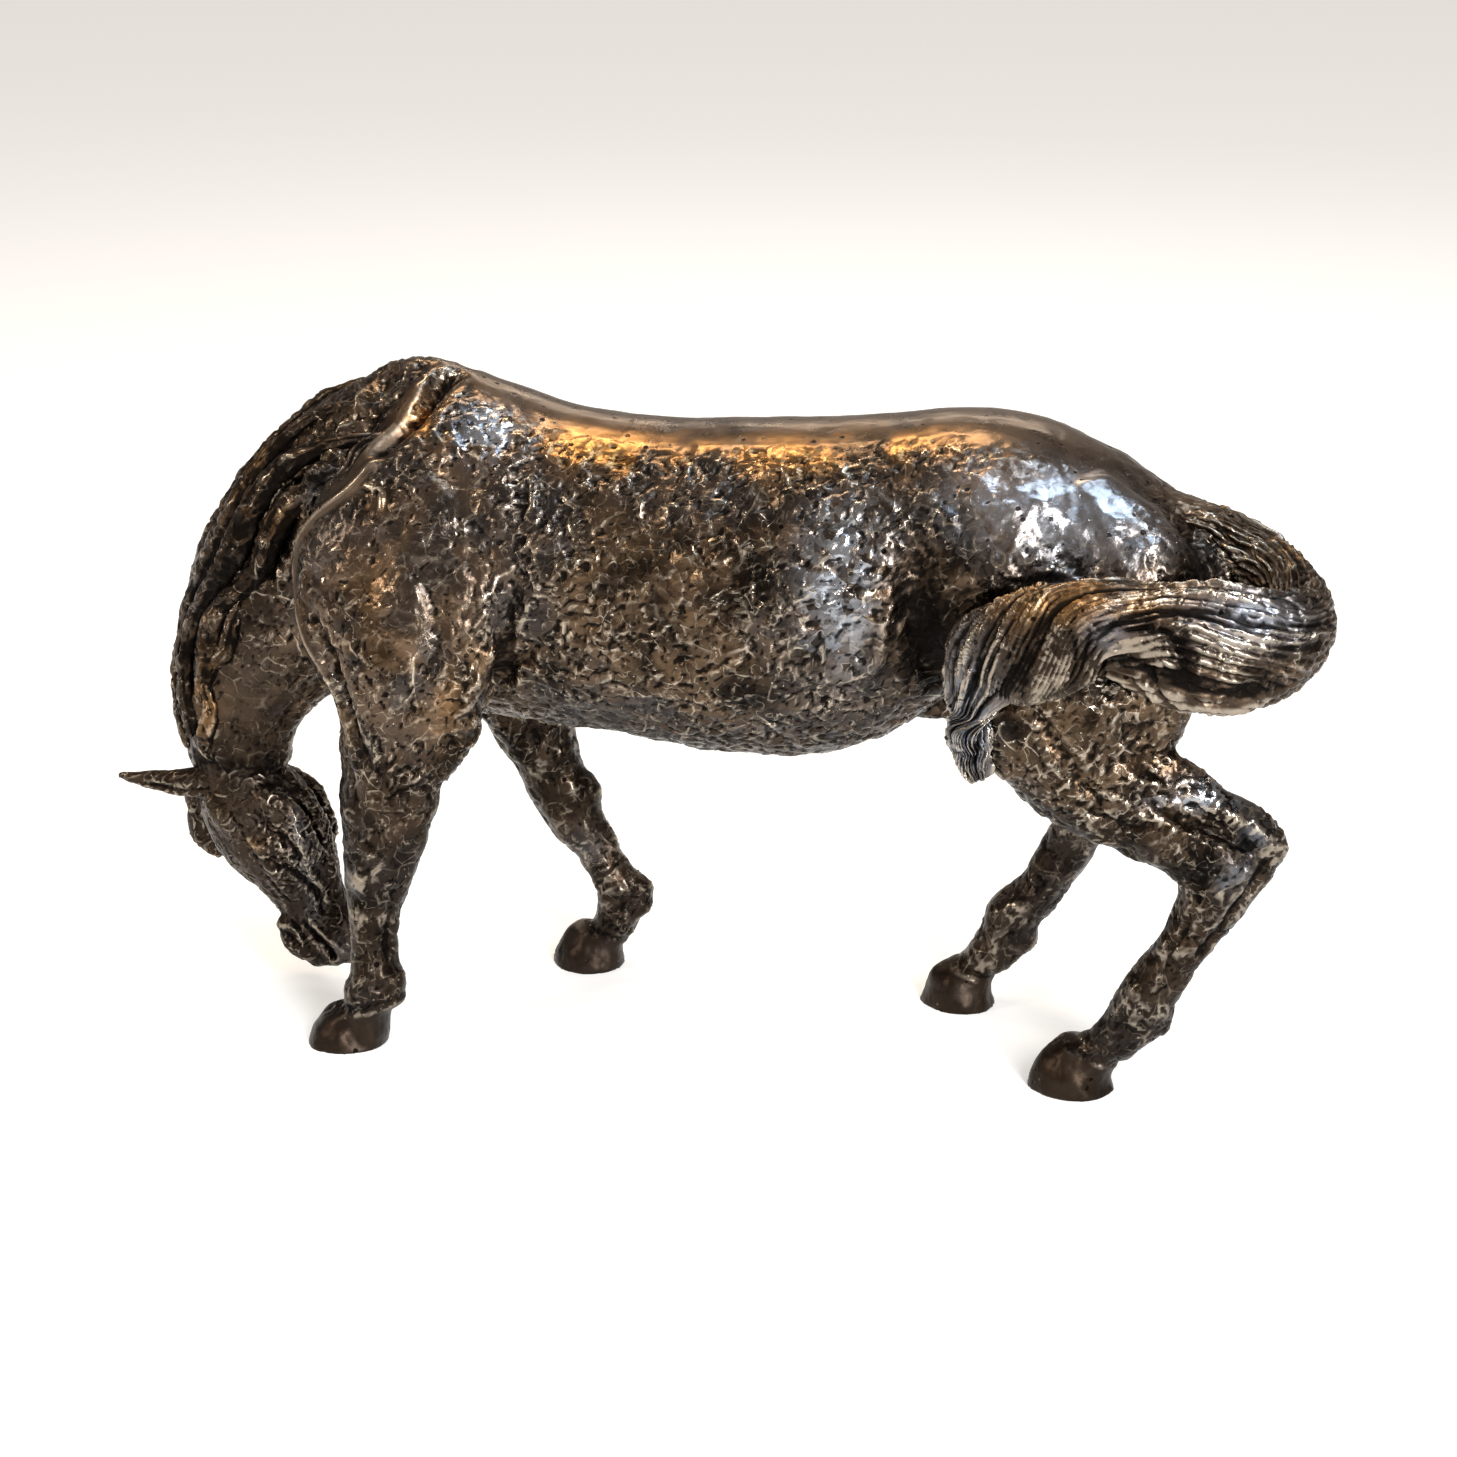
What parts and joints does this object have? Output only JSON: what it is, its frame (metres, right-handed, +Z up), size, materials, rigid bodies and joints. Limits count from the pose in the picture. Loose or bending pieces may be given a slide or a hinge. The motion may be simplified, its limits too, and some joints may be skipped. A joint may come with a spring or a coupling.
{
  "type": "grazing horse sculpture",
  "caption": "Cast horse with its neck arched and its muzzle near the ground, standing on its own hooves, with a roped mane and a tail swept along one thigh.",
  "frame": {"origin": "on the floor under the middle of the figure's overall box", "axes": "+X from head to tail along the body, +Y towards the horse's right side, away from the tail, +Z up"},
  "size_m": [0.5059, 0.1404, 0.2807],
  "materials": {
    "cast_metal": "dark gunmetal-brown patina over cast bronze, high points rubbed bright and silvery, tool strokes and small pits left in the skin"
  },
  "bodies": {
    "root": {"horse": "cast_metal"}
  },
  "joints": []
}
